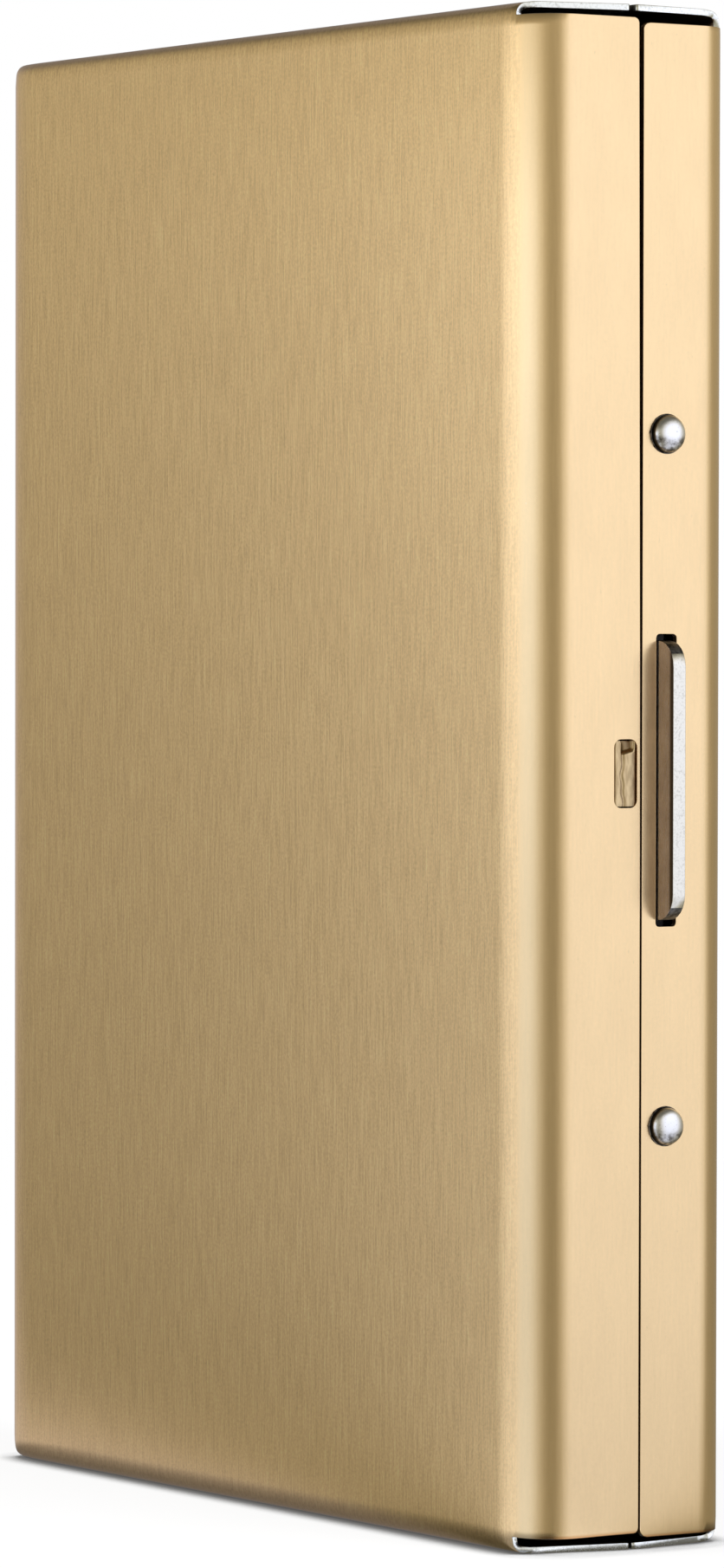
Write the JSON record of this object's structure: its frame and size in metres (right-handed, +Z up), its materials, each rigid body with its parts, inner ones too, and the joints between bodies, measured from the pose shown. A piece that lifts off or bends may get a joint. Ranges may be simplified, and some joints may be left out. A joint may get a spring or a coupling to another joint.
{
  "type": "metal card holder",
  "caption": "Slim case of folded brushed metal sheet that opens like a book on a rolled side hinge, with a sprung push-tab latch and a pleated fan of card pockets inside.",
  "frame": {"origin": "centre of the bounding box's underside, in the plane that the case stands on", "axes": "+Z up the long side, +X from the hinge to the latch, -Y out of the front cover's face"},
  "size_m": [0.0666, 0.015, 0.095],
  "materials": {
    "brushed_gold": "gold-coloured, brushed along the long side",
    "bare_steel": "bare, satin",
    "spring_steel": "dull spring strip",
    "leaf_black": "fine grain, matt",
    "pleat_black": "thin coated cloth"
  },
  "bodies": {
    "rear": {"rear_cover": "brushed_gold", "hinge_pin": "bare_steel", "rivet_upper": "bare_steel", "rivet_lower": "bare_steel", "latch_spring": "spring_steel", "leaf_0": "leaf_black"},
    "front": {"front_cover": "brushed_gold"},
    "latch": {"latch_plate": "bare_steel"},
    "leaf_1_body": {"leaf_1": "leaf_black", "gusset_top_1": "pleat_black", "gusset_bottom_1": "pleat_black", "spine_fold_1": "pleat_black"},
    "leaf_2_body": {"leaf_2": "leaf_black", "gusset_top_2": "pleat_black", "gusset_bottom_2": "pleat_black", "spine_fold_2": "pleat_black"},
    "leaf_3_body": {"leaf_3": "leaf_black", "gusset_top_3": "pleat_black", "gusset_bottom_3": "pleat_black", "spine_fold_3": "pleat_black"},
    "leaf_4_body": {"leaf_4": "leaf_black", "gusset_top_4": "pleat_black", "gusset_bottom_4": "pleat_black", "spine_fold_4": "pleat_black"},
    "leaf_5_body": {"leaf_5": "leaf_black", "gusset_top_5": "pleat_black", "gusset_bottom_5": "pleat_black", "spine_fold_5": "pleat_black"},
    "leaf_6_body": {"leaf_6": "leaf_black", "gusset_top_6": "pleat_black", "gusset_bottom_6": "pleat_black", "spine_fold_6": "pleat_black"}
  },
  "joints": [
    {"name": "cover_hinge", "type": "hinge", "parent": "rear", "child": "front", "pos_m": [-0.03222, 0.00025, 0.0475], "axis": [0, 0, -1], "range_deg": [0, 60]},
    {"name": "latch_slide", "type": "slide", "parent": "rear", "child": "latch", "axis": [-1, 0, 0], "range_m": [0, 0.0008], "stiffness_N_per_m": 3000, "springref_m": -0.0004, "deforming": ["latch_spring"]},
    {"name": "leaf_1_hinge", "type": "hinge", "parent": "rear", "child": "leaf_1_body", "pos_m": [-0.03222, 0.00025, 0.0475], "axis": [0, 0, -1], "range_deg": [0, 10], "deforming": ["gusset_top_1", "gusset_bottom_1", "spine_fold_1"]},
    {"name": "leaf_2_hinge", "type": "hinge", "parent": "leaf_1_body", "child": "leaf_2_body", "pos_m": [-0.03222, 0.00025, 0.0475], "axis": [0, 0, -1], "range_deg": [0, 10], "deforming": ["gusset_top_2", "gusset_bottom_2", "spine_fold_2"]},
    {"name": "leaf_3_hinge", "type": "hinge", "parent": "leaf_2_body", "child": "leaf_3_body", "pos_m": [-0.03222, 0.00025, 0.0475], "axis": [0, 0, -1], "range_deg": [0, 10], "deforming": ["gusset_top_3", "gusset_bottom_3", "spine_fold_3"]},
    {"name": "leaf_4_hinge", "type": "hinge", "parent": "leaf_3_body", "child": "leaf_4_body", "pos_m": [-0.03222, 0.00025, 0.0475], "axis": [0, 0, -1], "range_deg": [0, 10], "deforming": ["gusset_top_4", "gusset_bottom_4", "spine_fold_4"]},
    {"name": "leaf_5_hinge", "type": "hinge", "parent": "leaf_4_body", "child": "leaf_5_body", "pos_m": [-0.03222, 0.00025, 0.0475], "axis": [0, 0, -1], "range_deg": [0, 10], "deforming": ["gusset_top_5", "gusset_bottom_5", "spine_fold_5"]},
    {"name": "leaf_6_hinge", "type": "hinge", "parent": "leaf_5_body", "child": "leaf_6_body", "pos_m": [-0.03222, 0.00025, 0.0475], "axis": [0, 0, -1], "range_deg": [0, 10], "deforming": ["gusset_top_6", "gusset_bottom_6", "spine_fold_6"]}
  ],
  "couplings": [
    {"joint": "leaf_1_hinge", "follows": "cover_hinge", "ratio": 0.16667},
    {"joint": "leaf_2_hinge", "follows": "cover_hinge", "ratio": 0.16667},
    {"joint": "leaf_3_hinge", "follows": "cover_hinge", "ratio": 0.16667},
    {"joint": "leaf_4_hinge", "follows": "cover_hinge", "ratio": 0.16667},
    {"joint": "leaf_5_hinge", "follows": "cover_hinge", "ratio": 0.16667},
    {"joint": "leaf_6_hinge", "follows": "cover_hinge", "ratio": 0.16667}
  ]
}
